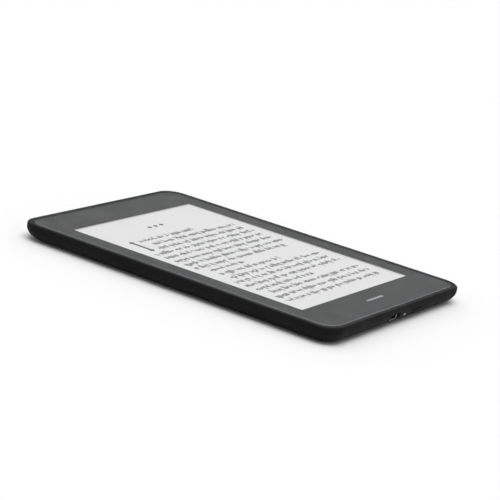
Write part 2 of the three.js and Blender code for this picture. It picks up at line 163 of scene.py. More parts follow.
def group_tree(name, inputs, outputs):
    tree = bpy.data.node_groups.new(name, "ShaderNodeTree")
    for label, kind, value in inputs:
        socket = tree.interface.new_socket(label, in_out="INPUT", socket_type=kind)
        if value is not None:
            socket.default_value = value
    for label, kind in outputs:
        tree.interface.new_socket(label, in_out="OUTPUT", socket_type=kind)
    entry = tree.nodes.new("NodeGroupInput")
    leave = tree.nodes.new("NodeGroupOutput")
    return tree, entry.outputs, leave.inputs


def make_grain():
    """Fine moulded or sprayed grain: its height, and a patchy mask of the same scale."""
    tree, given, out = group_tree(
        "fine_grain",
        [("Vector", "NodeSocketVector", None), ("Scale", "NodeSocketFloat", 4000.0)],
        [("Height", "NodeSocketFloat"), ("Patches", "NodeSocketFloat")],
    )
    pits = node(tree, "ShaderNodeTexVoronoi", {"Vector": given["Vector"], "Scale": given["Scale"]})
    soft = node(
        tree,
        "ShaderNodeTexNoise",
        {"Vector": given["Vector"], "Scale": given["Scale"], "Detail": 3.0, "Roughness": 0.6},
    )
    both = node(tree, "ShaderNodeMath", operation="MULTIPLY_ADD")
    tree.links.new(pits.outputs["Distance"], both.inputs[0])
    both.inputs[1].default_value = 0.6
    tree.links.new(soft.outputs["Fac"], both.inputs[2])
    tree.links.new(both.outputs[0], out["Height"])
    tree.links.new(soft.outputs["Fac"], out["Patches"])
    return tree


def make_handling():
    """Broad smudges from hands, and scattered specks of dust, each from 0 to 1."""
    tree, given, out = group_tree(
        "handling_marks",
        [
            ("Vector", "NodeSocketVector", None),
            ("Smudge Scale", "NodeSocketFloat", 60.0),
            ("Dust Scale", "NodeSocketFloat", 1500.0),
            ("Dust Amount", "NodeSocketFloat", 0.06),
        ],
        [("Smudge", "NodeSocketFloat"), ("Dust", "NodeSocketFloat")],
    )
    smudge = node(
        tree,
        "ShaderNodeTexNoise",
        {"Vector": given["Vector"], "Scale": given["Smudge Scale"], "Detail": 5.0, "Distortion": 0.8},
    )
    shaped = node(
        tree,
        "ShaderNodeMapRange",
        {"Value": smudge.outputs["Fac"], "From Min": 0.35, "From Max": 0.7},
    )
    specks = node(
        tree,
        "ShaderNodeTexVoronoi",
        {"Vector": given["Vector"], "Scale": given["Dust Scale"], "Randomness": 1.0},
    )
    near = node(
        tree,
        "ShaderNodeMapRange",
        {"Value": specks.outputs["Distance"], "From Min": given["Dust Amount"], "From Max": 0.0},
    )
    tree.links.new(shaped.outputs["Result"], out["Smudge"])
    tree.links.new(near.outputs["Result"], out["Dust"])
    return tree


def make_tracks():
    """Copper tracks side by side along one axis: 1 on a track, 0 between two."""
    tree, given, out = group_tree(
        "copper_tracks",
        [
            ("Across", "NodeSocketFloat", None),
            ("Tracks per Metre", "NodeSocketFloat", 1000.0),
            ("Share", "NodeSocketFloat", 0.5),
        ],
        [("Mask", "NodeSocketFloat")],
    )
    along = node(
        tree, "ShaderNodeMath", {0: given["Across"], 1: given["Tracks per Metre"]}, operation="MULTIPLY"
    )
    part = node(tree, "ShaderNodeMath", {0: along.outputs[0]}, operation="FRACT")
    mask = node(tree, "ShaderNodeMath", {0: part.outputs[0], 1: given["Share"]}, operation="LESS_THAN")
    tree.links.new(mask.outputs[0], out["Mask"])
    return tree


GRAIN = make_grain()
HANDLING = make_handling()
TRACKS = make_tracks()


def use_group(tree, group, inputs):
    made = tree.nodes.new("ShaderNodeGroup")
    made.node_tree = group
    for name, value in inputs.items():
        if isinstance(value, bpy.types.NodeSocket):
            tree.links.new(value, made.inputs[name])
        else:
            made.inputs[name].default_value = value
    return made


# --- Materials -------------------------------------------------------------------------------


def new_material(name):
    material = bpy.data.materials.new(name)
    material.use_nodes = True
    tree = material.node_tree
    shader = tree.nodes["Principled BSDF"]
    coordinates = tree.nodes.new("ShaderNodeTexCoord").outputs["Object"]
    return material, tree, shader, coordinates


def blended(tree, factor, low, high):
    """A colour between two, by a mask."""
    mix = node(tree, "ShaderNodeMix", data_type="RGBA")
    tree.links.new(factor, mix.inputs["Factor"])
    for index, colour in ((6, low), (7, high)):
        if isinstance(colour, bpy.types.NodeSocket):
            tree.links.new(colour, mix.inputs[index])
        else:
            mix.inputs[index].default_value = (*colour, 1)
    return mix.outputs[2]


def ranged(tree, factor, low, high):
    """A number between two, by a mask."""
    made = node(tree, "ShaderNodeMapRange", {"Value": factor, "To Min": low, "To Max": high})
    return made.outputs["Result"]


def bumped(tree, shader, height, depth):
    """Puts a height, a share of a depth in metres, on a shader as a bump."""
    bump = node(tree, "ShaderNodeBump", {"Height": height, "Distance": depth, "Strength": 1.0})
    tree.links.new(bump.outputs["Normal"], shader.inputs["Normal"])


def grained(name, dark, light, rough, scale=4000.0, depth=0.01 * MM, specular=0.5, metal=0.0):
    """A moulded or painted finish: grain in its height, patches in its colour, smudges in its gloss."""
    material, tree, shader, spot = new_material(name)
    grain = use_group(tree, GRAIN, {"Vector": spot, "Scale": scale})
    marks = use_group(tree, HANDLING, {"Vector": spot, "Smudge Scale": 60.0})
    tone = blended(tree, grain.outputs["Patches"], dark, light)
    tree.links.new(tone, shader.inputs["Base Color"])
    gloss = ranged(tree, marks.outputs["Smudge"], rough[0], rough[1])
    tree.links.new(gloss, shader.inputs["Roughness"])
    shader.inputs["Specular IOR Level"].default_value = specular
    shader.inputs["Metallic"].default_value = metal
    bumped(tree, shader, grain.outputs["Height"], depth)
    return material


def clear_plastic(name, alpha, colour, rough):
    """A clear plastic layer: a faint veil with a fine matte tooth."""
    material, tree, shader, spot = new_material(name)
    marks = use_group(tree, HANDLING, {"Vector": spot, "Smudge Scale": 45.0})
    gloss = ranged(tree, marks.outputs["Smudge"], rough[0], rough[1])
    tree.links.new(gloss, shader.inputs["Roughness"])
    tone = blended(tree, marks.outputs["Dust"], colour, (0.9, 0.9, 0.9))
    tree.links.new(tone, shader.inputs["Base Color"])
    shader.inputs["Alpha"].default_value = alpha
    return material


def page_material():
    """The reflective page: light grey with the faint mottle of its ink capsules.

    It gives out some light of its own, to make up for what the clear layers over it take away.
    """
    material, tree, shader, spot = new_material("reflective_page")
    capsules = node(tree, "ShaderNodeTexVoronoi", {"Vector": spot, "Scale": 9000.0})
    cloud = node(tree, "ShaderNodeTexNoise", {"Vector": spot, "Scale": 22.0, "Detail": 2.0})
    fine = blended(tree, capsules.outputs["Distance"], (0.5, 0.5, 0.495), (0.46, 0.46, 0.455))
    tone = node(tree, "ShaderNodeMix", {"Factor": 0.35}, data_type="RGBA", blend_type="MULTIPLY")
    tree.links.new(fine, tone.inputs[6])
    shade = blended(tree, cloud.outputs["Fac"], (0.9, 0.9, 0.9), (1.0, 1.0, 1.0))
    tree.links.new(shade, tone.inputs[7])
    tree.links.new(tone.outputs[2], shader.inputs["Base Color"])
    tree.links.new(tone.outputs[2], shader.inputs["Emission Color"])
    shader.inputs["Emission Strength"].default_value = 0.62
    gloss = ranged(tree, cloud.outputs["Fac"], 0.5, 0.6)
    tree.links.new(gloss, shader.inputs["Roughness"])
    bumped(tree, shader, capsules.outputs["Distance"], 0.002 * MM)
    return material


def soft_touch_material():
    """Black soft-touch paint: fine grain, faint smudges and dust, and a lip that hands have polished."""
    material, tree, shader, spot = new_material("soft_touch_black")
    grain = use_group(tree, GRAIN, {"Vector": spot, "Scale": 5200.0})
    marks = use_group(tree, HANDLING, {"Vector": spot, "Smudge Scale": 60.0, "Dust Amount": 0.03})
    tone = blended(tree, grain.outputs["Patches"], (0.004, 0.004, 0.0042), (0.0065, 0.0065, 0.0067))
    dusted = blended(tree, marks.outputs["Dust"], tone, (0.02, 0.02, 0.02))
    tree.links.new(dusted, shader.inputs["Base Color"])
    height = node(tree, "ShaderNodeSeparateXYZ", {"Vector": spot}).outputs["Z"]
    lip = node(
        tree,
        "ShaderNodeMapRange",
        {"Value": height, "From Min": LIP_TOP - 1.2 * MM, "From Max": LIP_TOP, "To Max": -0.16},
    )
    gloss = ranged(tree, marks.outputs["Smudge"], 0.62, 0.76)
    polished = node(tree, "ShaderNodeMath", {0: gloss, 1: lip.outputs["Result"]}, operation="ADD")
    tree.links.new(polished.outputs[0], shader.inputs["Roughness"])
    shader.inputs["Specular IOR Level"].default_value = 0.12
    bumped(tree, shader, grain.outputs["Height"], 0.008 * MM)
    return material


def flex_material():
    """Amber film over copper tracks that run along the ribbon."""
    material, tree, shader, spot = new_material("ribbon_amber")
    across = node(tree, "ShaderNodeSeparateXYZ", {"Vector": spot}).outputs["X"]
    tracks = use_group(tree, TRACKS, {"Across": across, "Tracks per Metre": 1600.0, "Share": 0.55})
    marks = use_group(tree, HANDLING, {"Vector": spot, "Smudge Scale": 220.0})
    tone = blended(tree, tracks.outputs["Mask"], (0.36, 0.15, 0.02), (0.5, 0.24, 0.06))
    tree.links.new(tone, shader.inputs["Base Color"])
    tree.links.new(ranged(tree, marks.outputs["Smudge"], 0.22, 0.38), shader.inputs["Roughness"])
    bumped(tree, shader, tracks.outputs["Mask"], 0.02 * MM)
    return material


def board_material():
    """Green solder mask over copper tracks that run one way or the other from patch to patch."""
    material, tree, shader, spot = new_material("solder_mask")
    parts = node(tree, "ShaderNodeSeparateXYZ", {"Vector": spot}).outputs
    masks = [
        use_group(tree, TRACKS, {"Across": parts[axis], "Tracks per Metre": count, "Share": 0.42})
        for axis, count in (("X", 1250.0), ("Y", 1050.0))
    ]
    patch = node(tree, "ShaderNodeTexVoronoi", {"Vector": spot, "Scale": 130.0}, distance="CHEBYCHEV")
    turn = node(tree, "ShaderNodeSeparateColor", {"Color": patch.outputs["Color"]}).outputs["Red"]
    ways = node(tree, "ShaderNodeMath", {0: turn, 1: 0.5}, operation="GREATER_THAN")
    mixed = node(tree, "ShaderNodeMix", {"Factor": ways.outputs[0]})
    tree.links.new(masks[0].outputs["Mask"], mixed.inputs["A"])
    tree.links.new(masks[1].outputs["Mask"], mixed.inputs["B"])
    tone = blended(tree, mixed.outputs["Result"], (0.008, 0.05, 0.025), (0.018, 0.105, 0.05))
    tree.links.new(tone, shader.inputs["Base Color"])
    marks = use_group(tree, HANDLING, {"Vector": spot, "Smudge Scale": 90.0})
    tree.links.new(ranged(tree, marks.outputs["Smudge"], 0.25, 0.4), shader.inputs["Roughness"])
    bumped(tree, shader, mixed.outputs["Result"], 0.03 * MM)
    return material


def brushed(name, dark, light, rough, stretch=(1.0, 14.0, 1.0), metal=1.0):
    """Rolled metal or foil: fine streaks along one way, in its colour and its height, and smudges in its
    gloss.
    """
    material, tree, shader, spot = new_material(name)
    drawn = node(tree, "ShaderNodeMapping", {"Vector": spot, "Scale": stretch})
    streaks = node(
        tree,
        "ShaderNodeTexNoise",
        {"Vector": drawn.outputs["Vector"], "Scale": 700.0, "Detail": 4.0, "Roughness": 0.65},
    )
    marks = use_group(tree, HANDLING, {"Vector": spot, "Smudge Scale": 80.0})
    tone = blended(tree, streaks.outputs["Fac"], dark, light)
    tree.links.new(tone, shader.inputs["Base Color"])
    gloss = ranged(tree, marks.outputs["Smudge"], *rough)
    tree.links.new(gloss, shader.inputs["Roughness"])
    shader.inputs["Metallic"].default_value = metal
    bumped(tree, shader, streaks.outputs["Fac"], 0.01 * MM)
    return material


MATERIALS = {
    "soft_touch": soft_touch_material(),
    "border": grained(
        "border_print_grey", (0.017, 0.017, 0.018), (0.021, 0.021, 0.022), (0.4, 0.5),
        scale=6500.0, depth=0.003 * MM, specular=0.2,
    ),
    "mark": grained("silver_mark", (0.3, 0.3, 0.31), (0.36, 0.36, 0.37), (0.3, 0.4), metal=0.3),
    "print": grained("page_ink", (0.012, 0.012, 0.012), (0.03, 0.03, 0.03), (0.6, 0.75), specular=0.2),
    "page": page_material(),
    "lens": clear_plastic("matte_lens_clear", 0.03, (0.6, 0.62, 0.64), (0.3, 0.42)),
    # Painted highlight: the lens's rounded edge is half opaque and light grey, so it shows as a light line
    # along the edge
    "lens_edge": clear_plastic("lens_edge_painted_highlight", 0.4, (0.5, 0.52, 0.54), (0.2, 0.3)),
    "clear": clear_plastic("clear_film", 0.02, (0.7, 0.72, 0.74), (0.08, 0.14)),
    "glass": clear_plastic("panel_glass", 0.5, (0.3, 0.33, 0.34), (0.05, 0.1)),
    "pipe": grained("light_pipe_milky", (0.5, 0.5, 0.48), (0.6, 0.6, 0.58), (0.3, 0.4)),
    "steel": brushed("plated_steel", (0.48, 0.48, 0.5), (0.62, 0.62, 0.64), (0.22, 0.36)),
    "gold": brushed("contact_gold", (0.72, 0.48, 0.18), (0.86, 0.6, 0.26), (0.18, 0.3)),
    "tin": brushed("solder_tin", (0.6, 0.6, 0.6), (0.74, 0.74, 0.74), (0.3, 0.42)),
    "copper": brushed("bare_copper", (0.6, 0.26, 0.12), (0.75, 0.36, 0.18), (0.25, 0.4)),
    "foil": brushed(
        "pouch_foil", (0.36, 0.38, 0.41), (0.52, 0.54, 0.57), (0.28, 0.46), (3.0, 1.0, 3.0), 0.8
    ),
    "rubber": grained(
        "seal_rubber", (0.012, 0.012, 0.012), (0.022, 0.022, 0.022), (0.7, 0.85), specular=0.3
    ),
    "foam": grained(
        "foam_tape", (0.02, 0.021, 0.023), (0.05, 0.052, 0.056), (0.8, 0.95),
        scale=2500.0, depth=0.05 * MM,
    ),
    "chassis": grained(
        "chassis_grey", (0.04, 0.042, 0.046), (0.06, 0.062, 0.066), (0.45, 0.6), scale=2500.0
    ),
    "chip": grained("chip_resin", (0.012, 0.012, 0.014), (0.022, 0.022, 0.025), (0.4, 0.55), scale=3500.0),
    "ceramic": grained("tan_ceramic", (0.3, 0.2, 0.12), (0.4, 0.28, 0.17), (0.45, 0.6), scale=6000.0),
    "white": grained("cream_plastic", (0.7, 0.69, 0.64), (0.78, 0.77, 0.72), (0.35, 0.5), depth=0.004 * MM),
    "amber_film": grained(
        "amber_film", (0.4, 0.19, 0.03), (0.5, 0.25, 0.045), (0.18, 0.32), scale=900.0
    ),
    "lead": grained("lead_black", (0.01, 0.01, 0.01), (0.02, 0.02, 0.02), (0.5, 0.6)),
    "flex": flex_material(),
    "board": board_material(),
}

# --- Mesh work -------------------------------------------------------------------------------


def rounded_loop(half_x, half_y, radius, z, centre=(0, 0), steps=CORNER_STEPS):
    """Points round a rounded rectangle, anticlockwise from above."""
    points = []
    for quarter in range(4):
        start = quarter * math.pi / 2
        side_x = 1 if quarter in (0, 3) else -1
        side_y = 1 if quarter in (0, 1) else -1
        for step in range(steps + 1):
            angle = start + math.pi / 2 * step / steps
            x = side_x * (half_x - radius) + radius * math.cos(angle)
            y = side_y * (half_y - radius) + radius * math.sin(angle)
            points.append((centre[0] + x, centre[1] + y, z))
    return points


def outline(inset, z):
    """The reader's outline, drawn in by an inset, at a height."""
    radius = CORNER - CORNER_SHRINK * inset
    return rounded_loop(HALF_WIDTH - inset, HALF_LENGTH - inset, radius, z)


def skin(loops, joined=False):
    """Vertices and faces through loops of equal count: capped at both ends, or joined end to end."""
    count = len(loops[0])
    points = [point for loop in loops for point in loop]
    faces = []
    pairs = len(loops) if joined else len(loops) - 1
    for row in range(pairs):
        low = row * count
        high = (row + 1) % len(loops) * count
        for side in range(count):
            after = (side + 1) % count
            faces.append((low + side, low + after, high + after, high + side))
    if not joined:
        last = (len(loops) - 1) * count
        faces.append(tuple(reversed(range(count))))
        faces.append(tuple(range(last, last + count)))
    return points, faces


def box_mesh(low, high):
    corners = [(low[0], low[1]), (high[0], low[1]), (high[0], high[1]), (low[0], high[1])]
    return skin([[(x, y, z) for x, y in corners] for z in (low[2], high[2])])


def cylinder(x, y, radius, low, high, steps=32):
    loop = [
        (x + radius * math.cos(math.tau * step / steps), y + radius * math.sin(math.tau * step / steps))
        for step in range(steps)
    ]
    return skin([[(px, py, z) for px, py in loop] for z in (low, high)])


def several(parts):
    """One list of points and one of faces from several such pairs."""
    points, faces = [], []
    for part_points, part_faces in parts:
        faces.extend(tuple(corner + len(points) for corner in face) for face in part_faces)
        points.extend(part_points)
    return points, faces


def new_object(name, points, faces):
    mesh = bpy.data.meshes.new(name)
    mesh.from_pydata(points, [], faces)
    made = bpy.data.objects.new(name, mesh)
    bpy.context.scene.collection.objects.link(made)
    return made


def tidy_normals(made):
    merge_distance = 1e-7
    work = bmesh.new()
    work.from_mesh(made.data)
    bmesh.ops.remove_doubles(work, verts=work.verts, dist=merge_distance)
    bmesh.ops.recalc_face_normals(work, faces=work.faces)
    work.to_mesh(made.data)
    work.free()


def shade(made, angle=35):
    """Smooth faces with sharp edges where they turn by more than an angle."""
    made.data.polygons.foreach_set("use_smooth", [True] * len(made.data.polygons))
    made.data.set_sharp_from_angle(angle=math.radians(angle))


def applied(made):
    """Turns an object's modifiers into its plain mesh."""
    bpy.context.view_layer.update()
    evaluated = made.evaluated_get(bpy.context.evaluated_depsgraph_get())
    mesh = bpy.data.meshes.new_from_object(evaluated)
    made.modifiers.clear()
    made.data = mesh
    return made


def cut_with(made, cutters, operation="DIFFERENCE"):
    for cutter in cutters:
        change = made.modifiers.new("cut", "BOOLEAN")
        change.operation = operation
        change.solver = "EXACT"
        change.object = cutter
        applied(made)
        bpy.data.objects.remove(cutter)
    return made


def geometry_tree(name, *inputs):
    """A Geometry Nodes tree that takes points, named inputs and a finish, and gives back a mesh."""
    tree = bpy.data.node_groups.new(name, "GeometryNodeTree")
    for label, kind in (("Points", "NodeSocketGeometry"), *inputs, ("Finish", "NodeSocketMaterial")):
        tree.interface.new_socket(label, in_out="INPUT", socket_type=kind)
    tree.interface.new_socket("Mesh", in_out="OUTPUT", socket_type="NodeSocketGeometry")
    return tree, tree.nodes.new("NodeGroupInput").outputs


def close_tree(tree, given, instances):
    """Ends a tree: its instances are made real and given their finish."""
    real = node(tree, "GeometryNodeRealizeInstances", {"Geometry": instances})
    dressed = node(
        tree,
        "GeometryNodeSetMaterial",
        {"Geometry": real.outputs["Geometry"], "Material": given["Finish"]},
    )
    leave = tree.nodes.new("NodeGroupOutput")
    tree.links.new(dressed.outputs["Geometry"], leave.inputs["Mesh"])
    return tree


def shapes_of(tree, collection):
    """The objects of a collection, one instance each, to pick from."""
    info = node(
        tree,
        "GeometryNodeCollectionInfo",
        {"Collection": collection, "Separate Children": True, "Reset Children": True},
    )
    return info.outputs["Instances"]


def grow(made, tree, inputs):
    """Runs a tree on an object and keeps the plain mesh; the tree's inputs are set by identifier."""
    change = made.modifiers.new("tree", "NODES")
    change.node_group = tree
    for item in tree.interface.items_tree:
        if item.item_type == "SOCKET" and item.in_out == "INPUT" and item.name in inputs:
            change[item.identifier] = inputs[item.name]
    return applied(made)


def shelf_of(name, shapes):
    """A collection, out of the scene, with one object for each shape's points and faces."""
    shelf = bpy.data.collections.new(name)
    for index, (points, faces) in enumerate(shapes):
        mesh = bpy.data.meshes.new(f"{name}_{index}")
        mesh.from_pydata(points, [], faces)
        shelf.objects.link(bpy.data.objects.new(f"{name}_{index}", mesh))
    return shelf


def clear_shelf(shelf):
    for thing in list(shelf.objects):
        bpy.data.objects.remove(thing)
    bpy.data.collections.remove(shelf)


def settle(made, body, slot, material, *nodes):
    """Gives a finished piece its material and its body, and hides the CAD nodes it stands for; its slot is not
    used.
    """
    if not made.data.materials:
        made.data.materials.append(MATERIALS[material])
    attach(made, body)
    if nodes:
        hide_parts(*nodes)
    return made


# --- Rear cover ------------------------------------------------------------------------------


def back_curve(near, far, low, high, steps=22):
    """A quarter ellipse, as (inset, height), from the floor up to the wall."""
    curve = []
    for step in range(steps + 1):
        angle = math.pi / 2 * step / steps
        curve.append((far - (far - near) * math.sin(angle), high - (high - low) * math.cos(angle)))
    return curve


def side_inset(z):
    """How far the curved side stands in from the outline at a height."""
    drop = max(BACK_HEIGHT - z, 0) / BACK_HEIGHT
    return BACK_INSET * (1 - math.sqrt(1 - drop * drop))


def edge_face(z):
    """Y of the bottom edge's surface at a height."""
    return -HALF_LENGTH + side_inset(z)


def shell_profile():
    profile = back_curve(0, BACK_INSET, 0, BACK_HEIGHT)
    steps = 8
    for step in range(steps + 1):
        angle = math.pi / 2 * step / steps
        profile.append((
            LIP_ROUND * (1 - math.cos(angle)),
            LIP_TOP - LIP_ROUND * (1 - math.sin(angle)),
        ))
    soft = 0.12 * MM
    profile.append((WALL - soft, LIP_TOP))
    profile.append((WALL - soft * 0.3, LIP_TOP - soft * 0.3))
    profile.append((WALL, LIP_TOP - soft))
    profile.extend(reversed(back_curve(WALL, BACK_INSET, FLOOR, BACK_HEIGHT, steps=14)))
    return profile


def along_y(loop, low, high, flare=0.0, flare_at=0.0):
    """A prism along Y from a loop of (x, z); its mouth may flare out where it meets the surface."""
    centre_x = sum(x for x, _ in loop) / len(loop)
    centre_z = sum(z for _, z in loop) / len(loop)

    def widened(amount):
        reach_x = max(x for x, _ in loop) - centre_x
        reach_z = max(z for _, z in loop) - centre_z
        return [
            (
                centre_x + (x - centre_x) * (1 + amount / reach_x),
                centre_z + (z - centre_z) * (1 + amount / reach_z),
            )
            for x, z in loop
        ]

    stops = [(low, flare * 2), (flare_at, flare), (flare_at + flare, 0), (high, 0)]
    if not flare:
        stops = [(low, 0), (high, 0)]
    loops = [[(x, y, z) for x, z in widened(amount)] for y, amount in stops]
    return skin(loops)


def pill_loop(half_x, half_z, centre):
    steps = 10
    flat = rounded_loop(half_x, half_z, half_z * 0.999, 0, centre, steps)
    return [(x, z) for x, z, _ in flat]


def port_loop(grow=0.0):
    """The port's section, with its two lower corners cut off, as (x, z)."""
    low_x, high_x = PORT_LOW.x - grow, PORT_HIGH.x + grow
    low_z, high_z = PORT_LOW.z - grow, PORT_HIGH.z + grow
    bevel = 0.95 * MM
    corners = [
        (high_x, high_z), (low_x, high_z), (low_x, low_z + bevel),
        (low_x + bevel, low_z), (high_x - bevel, low_z), (high_x, low_z + bevel),
    ]
    soft = 0.18 * MM
    points = []
    for index, corner in enumerate(corners):
        here = Vector(corner)
        before = Vector(corners[index - 1]) - here
        after = Vector(corners[(index + 1) % len(corners)]) - here
        enter = here + before.normalized() * soft
        leave = here + after.normalized() * soft
        for step in range(5):
            part = step / 4
            spot = (1 - part) ** 2 * enter + 2 * part * (1 - part) * here + part**2 * leave
            points.append((spot.x, spot.y))
    return points


GAP = 0.3 * MM
EDGE_Z = (PORT_LOW.z + PORT_HIGH.z) / 2
POCKET_Y = -HALF_LENGTH + 2.6 * MM
BUTTON_X = (BUTTON_LOW.x + BUTTON_HIGH.x) / 2
BUTTON_HALF = (4 * MM, 0.9 * MM)
POCKET_HALF_HEIGHT = 1.9 * MM
PORT_POCKET = 5.2 * MM
BUTTON_POCKET = 5.6 * MM
BOSS_RADIUS = 2.4 * MM
PILOT_RADIUS = 0.85 * MM
PIPE_X = (PIPE_LOW.x + PIPE_HIGH.x) / 2
PIPE_RADIUS = (PIPE_HIGH.x - PIPE_LOW.x) / 2
SCREWS = {
    name: (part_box(name)[0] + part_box(name)[1]) / 2 for name in frame["nodes"] if "_screw_" in name
}


def rear_shell():
    shell = new_object("rear_shell", *skin([outline(*step) for step in shell_profile()]))
    tidy_normals(shell)
    boss_tops = {"chassis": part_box("chassis")[0].z, "board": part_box("main_board")[0].z}
    bosses, pilots = [], []
    for name, spot in SCREWS.items():
        top = boss_tops[name.split("_")[0]] - 0.05 * MM
        bosses.append(new_object("boss", *cylinder(spot.x, spot.y, BOSS_RADIUS, FLOOR / 2, top)))
        pilot = cylinder(spot.x, spot.y, PILOT_RADIUS, FLOOR + 0.4 * MM, top + 1 * MM, 20)
        pilots.append(new_object("pilot", *pilot))
    mouth = edge_face(EDGE_Z)
    outside = -HALF_LENGTH - 1 * MM
    inside = POCKET_Y + 2 * MM
    button = pill_loop(BUTTON_HALF[0] + GAP, BUTTON_HALF[1] + GAP, (BUTTON_X, EDGE_Z))
    light = pill_loop(PIPE_RADIUS + GAP, PIPE_RADIUS + GAP, (PIPE_X, EDGE_Z))
    holes = [
        new_object("port_hole", *along_y(port_loop(GAP), outside, inside, 0.25 * MM, mouth)),
        new_object("button_hole", *along_y(button, outside, inside)),
        new_object("light_hole", *along_y(light, outside, inside)),
    ]
    for x, half in (((PORT_LOW.x + PORT_HIGH.x) / 2, PORT_POCKET), (BUTTON_X, BUTTON_POCKET)):
        low = (x - half, POCKET_Y, EDGE_Z - POCKET_HALF_HEIGHT)
        high = (x + half, POCKET_Y + 3 * MM, EDGE_Z + POCKET_HALF_HEIGHT)
        holes.append(new_object("pocket", *box_mesh(low, high)))
    for cutter in holes:
        tidy_normals(cutter)
    cut_with(shell, bosses, "UNION")
    cut_with(shell, pilots + holes)
    tidy_normals(shell)
    shade(shell, 32)
    settle(shell, "reader", "soft_touch_shell", "soft_touch", "rear_cover")


# --- Front layers ----------------------------------------------------------------------------


def layered_plate(name, rings):
    made = new_object(name, *skin(rings))
    tidy_normals(made)
    shade(made, 40)
    return made


def front_lens():
    inset = HALF_WIDTH - LENS_HIGH.x
    edge = 0.16 * MM
    steps = 6
    rings = [outline(inset, LENS_LOW.z)]
    for step in range(steps + 1):
        angle = math.pi / 2 * step / steps
        rings.append(outline(
            inset + edge * (1 - math.cos(angle)),
            LENS_HIGH.z - edge * (1 - math.sin(angle)),
        ))
    lens = layered_plate("front_lens", rings)
    lens.data.materials.append(MATERIALS["lens"])
    # The rounded edge faces take the second finish, a painted highlight line; the flat faces stay clear
    lens.data.materials.append(MATERIALS["lens_edge"])
    for face in lens.data.polygons:
        face.material_index = 0 if abs(face.normal.z) > 0.999 else 1
    settle(lens, "reader", "matte_lens", "lens", "cover_lens")


def border_print():
    inset = HALF_WIDTH - FILM_HIGH.x
    low, high = FILM_LOW.z, FILM_HIGH.z
    window = [
        rounded_loop(SCREEN_WIDTH / 2, SCREEN_LENGTH / 2, 0.3 * MM, z, (0, SCREEN_Y)) for z in (high, low)
    ]
    rings = [outline(inset, low), outline(inset, high), *window]
    film = new_object("border_print", *skin(rings, joined=True))
    tidy_normals(film)
    shade(film)
    settle(film, "reader", "border_print", "border", "border_film")


def page_surface():
    half = (PAGE_HIGH - PAGE_LOW) / 2
    middle = (PAGE_HIGH + PAGE_LOW) / 2
    rings = [
        rounded_loop(half.x, half.y, 0.5 * MM, z, (middle.x, middle.y), 6)
        for z in (PAGE_LOW.z, PAGE_HIGH.z)
    ]
    page = layered_plate("page_surface", rings)
    settle(page, "reader", "page_layer", "page", "display_ink_layer")


# --- Print on the page: bars and lozenges that suggest rows of reading --------------------

X_HEIGHT = 2.35 * MM
INK_THICKNESS = 0.012 * MM
ROW_PITCH = 5.34 * MM
FIRST_ROW = 26.1 * MM
COLUMN = (5.9 * MM, 85 * MM)
INDENT = 10 * MM
# Each row's start and end across the page
ROWS = [
    (15.2 * MM, 59 * MM),
    (18.5 * MM, COLUMN[1]),
    (15.2 * MM, COLUMN[1]),
    *[COLUMN] * 4,
    (COLUMN[0], 80 * MM),
    (INDENT, 36.2 * MM),
    (INDENT, 58.7 * MM),
    (INDENT, COLUMN[1]),
    *[COLUMN] * 2,
    (COLUMN[0], 53.7 * MM),
    (INDENT, COLUMN[1]),
    COLUMN,
    COLUMN,
]
# Marks in shares of the x-height: upright bars (x, low, high), lozenges (x, y), and an advance
BAR = 0.25
LOZENGE = 0.34
MARKS = [
    ([(0, 0, 1)], [], 0.4),
    ([(0, 0, 1.45)], [], 0.4),
    ([(0, -0.45, 1)], [], 0.4),
    ([(0, 0, 0.45)], [], 0.38),
    ([(0, 0.55, 1)], [], 0.38),
    ([], [(0, 0.5)], 0.72),
    ([(-0.19, 0, 1), (0.19, 0.25, 0.75)], [], 0.78),
]
MARK_WEIGHTS = (8, 3, 2, 1, 2, 3, 3)
WORD_GAP = 0.62


def mark_bar(x, low, high):
    near = ((x - BAR / 2) * X_HEIGHT, (low - 0.5) * X_HEIGHT, 0)
    far = ((x + BAR / 2) * X_HEIGHT, (high - 0.5) * X_HEIGHT, INK_THICKNESS)
    return box_mesh(near, far)


def lozenge(x, y, reach, low, high):
    corners = [(x + reach, y), (x, y + reach), (x - reach, y), (x, y - reach)]
    return skin([[(px, py, z) for px, py in corners] for z in (low, high)])


def mark_lozenge(x, y):
    return lozenge(x * X_HEIGHT, (y - 0.5) * X_HEIGHT, LOZENGE * X_HEIGHT, 0, INK_THICKNESS)


def mark_shapes():
    for bars, lozenges, _ in MARKS:
        yield several([mark_bar(*bar) for bar in bars] + [mark_lozenge(*spot) for spot in lozenges])


def mark_spots():
    """Where each mark stands, and which one it is: words of two to nine marks along every row."""
    draw = random.Random(11)
    spots, kinds = [], []
    for row, (start, end) in enumerate(ROWS):
        middle = SCREEN_TOP - FIRST_ROW - row * ROW_PITCH
        across = start
        left_in_word = draw.randint(2, 9)
        while across < end - 0.7 * X_HEIGHT:
            kind = draw.choices(range(len(MARKS)), MARK_WEIGHTS)[0]
            advance = MARKS[kind][2] * X_HEIGHT
            spots.append((SCREEN_LEFT + across + advance / 2, middle, PAGE_HIGH.z))
            kinds.append(kind)
            across += advance
            left_in_word -= 1
            if left_in_word == 0:
                across += WORD_GAP * X_HEIGHT
                left_in_word = draw.randint(2, 9)
    return spots, kinds


